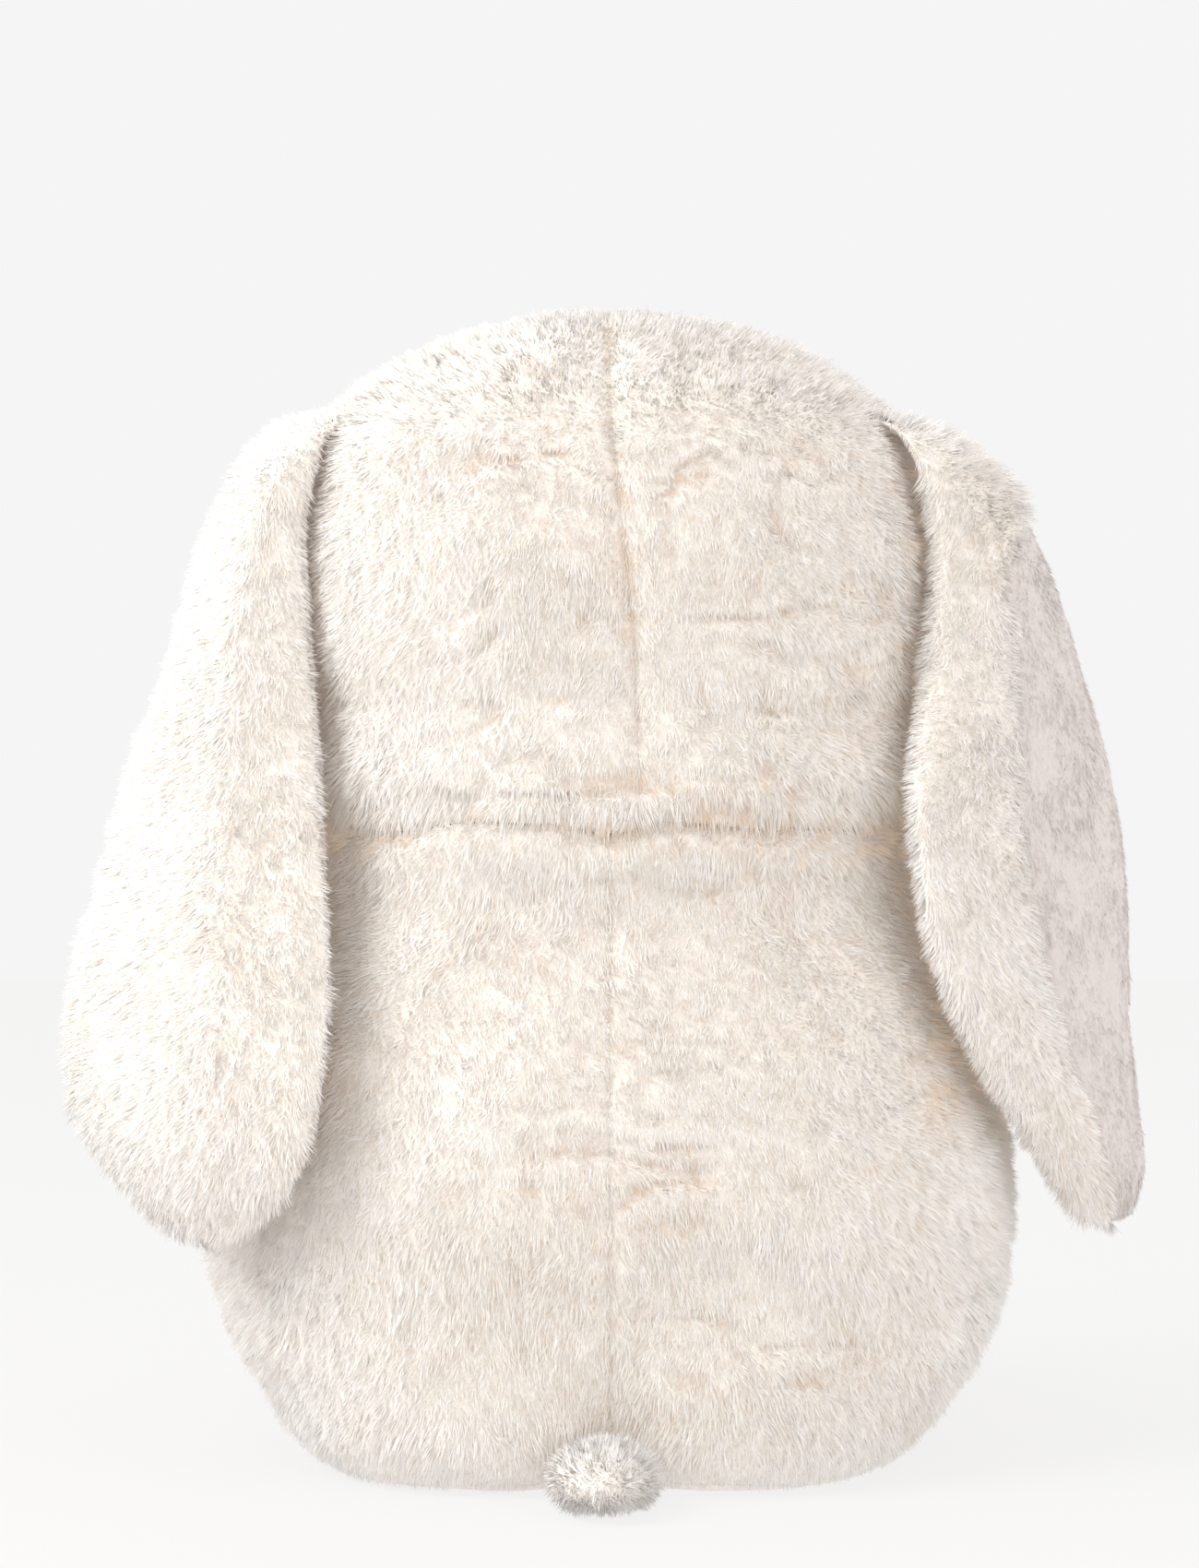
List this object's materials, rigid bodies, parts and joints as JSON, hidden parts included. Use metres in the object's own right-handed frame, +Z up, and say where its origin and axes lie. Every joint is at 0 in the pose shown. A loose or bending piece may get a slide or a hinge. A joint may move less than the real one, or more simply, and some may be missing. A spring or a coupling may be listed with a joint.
{
  "type": "stuffed bunny rabbit",
  "caption": "Sitting plush rabbit in cream faux fur with long hanging ears, a weighted base, soft arms and legs, and a small tail",
  "frame": {"origin": "Centre of the flat base panel, on the surface that the toy sits on", "axes": "+Z up, the face looks along -Y, and the toy's own left side is +X"},
  "size_m": [0.3239, 0.3073, 0.345],
  "materials": {
    "fur": "matte",
    "ear_lining": "matte",
    "fibre_filling": "matte",
    "pellet_cloth": "matte",
    "eye_plastic": "gloss",
    "washer_plastic": "matte",
    "embroidery_thread": "satin"
  },
  "bodies": {
    "torso": {"back_panel_left": "fur", "back_panel_right": "fur", "belly_panel": "fur", "base_panel": "fur", "body_stuffing": "fibre_filling", "pellet_bag": "pellet_cloth"},
    "neck": {"neck_stuffing": "fibre_filling"},
    "head": {"head_panel_left": "fur", "head_panel_right": "fur", "face_panel": "fur", "muzzle_panel": "fur", "head_stuffing": "fibre_filling", "eye_left": "eye_plastic", "eye_right": "eye_plastic", "eye_washer_left": "washer_plastic", "eye_washer_right": "washer_plastic", "nose_stitching": "embroidery_thread", "mouth_stitching": "embroidery_thread"},
    "ear_left": {"ear_outer_left": "fur", "ear_lining_left": "ear_lining", "ear_wadding_left": "fibre_filling"},
    "ear_right": {"ear_outer_right": "fur", "ear_lining_right": "ear_lining", "ear_wadding_right": "fibre_filling"},
    "arm_left": {"arm_outer_left": "fur", "arm_inner_left": "fur", "arm_stuffing_left": "fibre_filling"},
    "arm_right": {"arm_outer_right": "fur", "arm_inner_right": "fur", "arm_stuffing_right": "fibre_filling"},
    "leg_left": {"leg_panel_left": "fur", "foot_pad_left": "ear_lining", "leg_stuffing_left": "fibre_filling"},
    "leg_right": {"leg_panel_right": "fur", "foot_pad_right": "ear_lining", "leg_stuffing_right": "fibre_filling"},
    "tail": {"tail_upper": "fur", "tail_lower": "fur", "tail_stuffing": "fibre_filling"}
  },
  "joints": [
    {"name": "head_turn", "type": "hinge", "parent": "torso", "child": "neck", "pos_m": [0, 0, 0.184], "axis": [0, 0, 1], "range_deg": [-12, 12], "stiffness_Nm_per_rad": 1},
    {"name": "head_nod", "type": "hinge", "parent": "neck", "child": "head", "pos_m": [0, 0, 0.186], "axis": [1, 0, 0], "range_deg": [-4, 8], "stiffness_Nm_per_rad": 3},
    {"name": "ear_left_lift", "type": "hinge", "parent": "head", "child": "ear_left", "pos_m": [0.085, 0.043, 0.306], "axis": [0, -1, 0], "range_deg": [0, 120]},
    {"name": "ear_right_lift", "type": "hinge", "parent": "head", "child": "ear_right", "pos_m": [-0.087, 0.04, 0.306], "axis": [0, 1, 0], "range_deg": [0, 120]},
    {"name": "arm_left_raise", "type": "hinge", "parent": "torso", "child": "arm_left", "pos_m": [0.09, -0.071, 0.16], "axis": [-1, 0, 0], "range_deg": [0, 90]},
    {"name": "arm_right_raise", "type": "hinge", "parent": "torso", "child": "arm_right", "pos_m": [-0.09, -0.071, 0.16], "axis": [-1, 0, 0], "range_deg": [0, 90]},
    {"name": "leg_left_raise", "type": "hinge", "parent": "torso", "child": "leg_left", "pos_m": [0.072, -0.112, 0.0295], "axis": [-1, 0, 0], "range_deg": [0, 20]},
    {"name": "leg_right_raise", "type": "hinge", "parent": "torso", "child": "leg_right", "pos_m": [-0.072, -0.112, 0.0295], "axis": [-1, 0, 0], "range_deg": [0, 20]},
    {"name": "tail_raise", "type": "hinge", "parent": "torso", "child": "tail", "pos_m": [0.002, 0.099, 0.0136], "axis": [1, 0, 0], "range_deg": [0, 20]}
  ]
}
